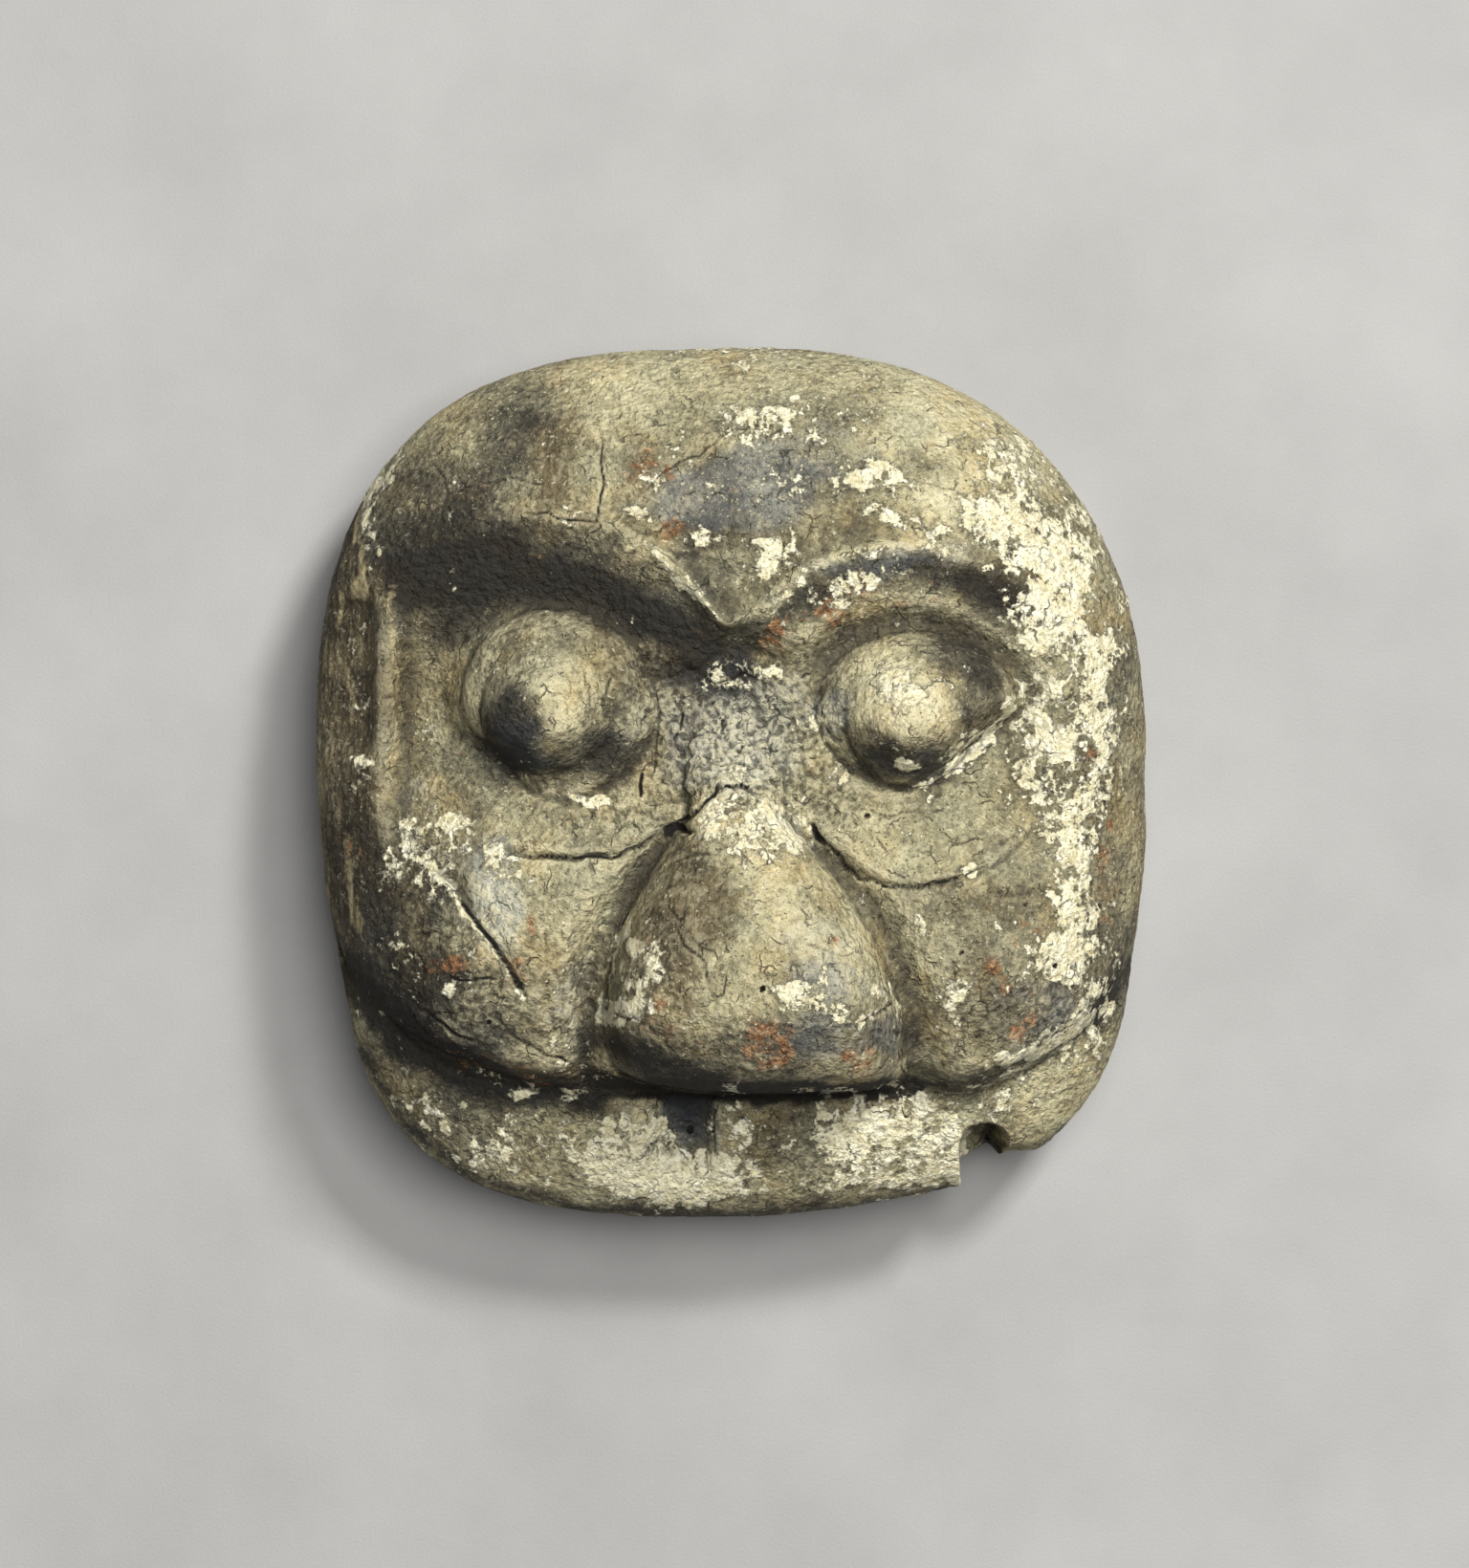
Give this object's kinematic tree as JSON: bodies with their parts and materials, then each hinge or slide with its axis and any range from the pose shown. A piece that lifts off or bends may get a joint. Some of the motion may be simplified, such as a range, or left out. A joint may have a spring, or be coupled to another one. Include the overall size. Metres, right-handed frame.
{
  "type": "lion mask",
  "caption": "Carved wooden lion mask with bulging eyes, a broad nose and heavy brows: a weathered hollow shell, lying on its rim with the face up.",
  "frame": {"origin": "middle of the rim's plane, under the middle of the box around the mask", "axes": "+Z out of the face, +Y to the top of the forehead, +X to the right of someone who looks at the face"},
  "size_m": [0.2998, 0.314, 0.1499],
  "materials": {
    "wood": "weathered, with worn paint and gesso"
  },
  "bodies": {
    "root": {"lion_mask": "wood"}
  },
  "joints": []
}
